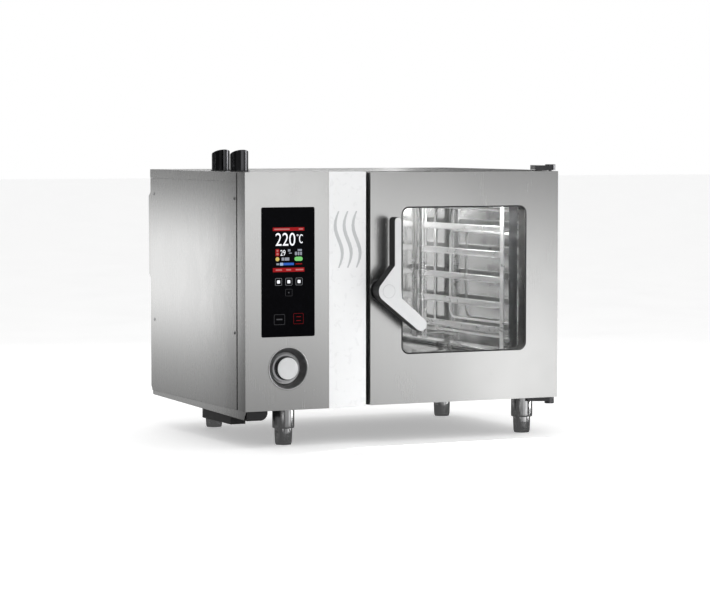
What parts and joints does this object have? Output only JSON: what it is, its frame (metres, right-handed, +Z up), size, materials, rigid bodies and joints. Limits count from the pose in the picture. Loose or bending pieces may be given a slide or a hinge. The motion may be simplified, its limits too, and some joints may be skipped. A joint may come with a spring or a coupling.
{
  "type": "combi steamer oven",
  "caption": "Counter-top combi steamer oven: hinged glass door with an angled turn handle, touch glass and knob at the left, shelf racks and fan inside, roof vents, feet.",
  "frame": {"origin": "middle of the footprint box, at the floor under the feet", "axes": "+X to the right as the user faces the door, +Y to the rear, +Z up"},
  "size_m": [0.93, 0.776, 0.782],
  "materials": {
    "steel": "brushed stainless sheet",
    "polished_steel": "polished stainless",
    "chrome": "mirror",
    "white_trim": "gloss",
    "black_plastic": "satin",
    "touch_glass": "black back-printed glass",
    "light_plastic": "satin",
    "clear_glass": "clear",
    "circuit_board": "solder resist",
    "mineral_wool": "fibrous",
    "gasket_rubber": "matt",
    "brass": "turned",
    "motor_casing": "cast",
    "heater_tube": "heat-darkened"
  },
  "bodies": {
    "cabinet": {"left_side_panel": "steel", "right_side_panel": "steel", "roof_panel": "steel", "rear_panel": "steel", "rear_cover": "steel", "base_frame": "steel", "left_skirt": "steel", "front_frame": "steel", "control_fascia": "steel", "left_rack": "steel", "right_rack": "steel", "fan_baffle": "steel", "power_supply": "steel", "top_hinge_bracket": "polished_steel", "bottom_hinge_bracket": "polished_steel", "top_hinge_pin": "polished_steel", "bottom_hinge_pin": "polished_steel", "latch_keeper": "polished_steel", "cavity_liner": "polished_steel", "steam_pipe": "polished_steel", "drain_pipe": "polished_steel", "front_vent_pipe": "chrome", "rear_vent_pipe": "chrome", "front_left_foot_sleeve": "chrome", "rear_left_foot_sleeve": "chrome", "front_right_foot_sleeve": "chrome", "rear_right_foot_sleeve": "chrome", "trim_strip": "white_trim", "gap_channel": "black_plastic", "underside_box": "black_plastic", "air_duct": "black_plastic", "knob_bowl": "black_plastic", "display_module": "black_plastic", "cable_gland": "black_plastic", "control_glass": "touch_glass", "contactor": "light_plastic", "terminal_block": "light_plastic", "lamp_lens": "clear_glass", "control_board": "circuit_board", "insulation": "mineral_wool", "door_gasket": "gasket_rubber", "solenoid_valve": "brass", "water_inlet": "brass", "fan_motor": "motor_casing", "heating_element": "heater_tube"},
    "door": {"door_skin": "steel", "outer_glass": "clear_glass", "inner_glass": "clear_glass", "door_inner_frame": "steel"},
    "handle": {"handle_body": "black_plastic", "handle_face": "light_plastic", "latch_spindle": "polished_steel"},
    "encoder": {"encoder_shaft": "steel"},
    "knob": {"knob": "light_plastic"},
    "fan": {"fan_wheel": "steel", "motor_shaft": "polished_steel"},
    "front_left_foot": {"front_left_foot_tip": "chrome"},
    "rear_left_foot": {"rear_left_foot_tip": "chrome"},
    "front_right_foot": {"front_right_foot_tip": "chrome"},
    "rear_right_foot": {"rear_right_foot_tip": "chrome"}
  },
  "joints": [
    {"name": "door_swing", "type": "hinge", "parent": "cabinet", "child": "door", "pos_m": [0.45, -0.312, 0.4115], "axis": [0, 0, 1], "range_deg": [0, 130]},
    {"name": "handle_turn", "type": "hinge", "parent": "door", "child": "handle", "pos_m": [-0.077, -0.33, 0.408], "axis": [0, 1, 0], "range_deg": [0, 50]},
    {"name": "encoder_push", "type": "slide", "parent": "cabinet", "child": "encoder", "axis": [0, 1, 0], "range_m": [0, 0.002], "stiffness_N_per_m": 900, "springref_m": -0.001},
    {"name": "knob_turn", "type": "hinge", "parent": "encoder", "child": "knob", "pos_m": [-0.343, -0.33, 0.208], "axis": [0, -1, 0], "continuous": true},
    {"name": "fan_spin", "type": "hinge", "parent": "cabinet", "child": "fan", "pos_m": [-0.125, 0.0325, 0.443], "axis": [1, 0, 0], "continuous": true},
    {"name": "front_left_foot_height", "type": "slide", "parent": "cabinet", "child": "front_left_foot", "axis": [0, 0, -1], "range_m": [-0.008, 0.015]},
    {"name": "rear_left_foot_height", "type": "slide", "parent": "cabinet", "child": "rear_left_foot", "axis": [0, 0, -1], "range_m": [-0.008, 0.015]},
    {"name": "front_right_foot_height", "type": "slide", "parent": "cabinet", "child": "front_right_foot", "axis": [0, 0, -1], "range_m": [-0.008, 0.015]},
    {"name": "rear_right_foot_height", "type": "slide", "parent": "cabinet", "child": "rear_right_foot", "axis": [0, 0, -1], "range_m": [-0.008, 0.015]}
  ]
}
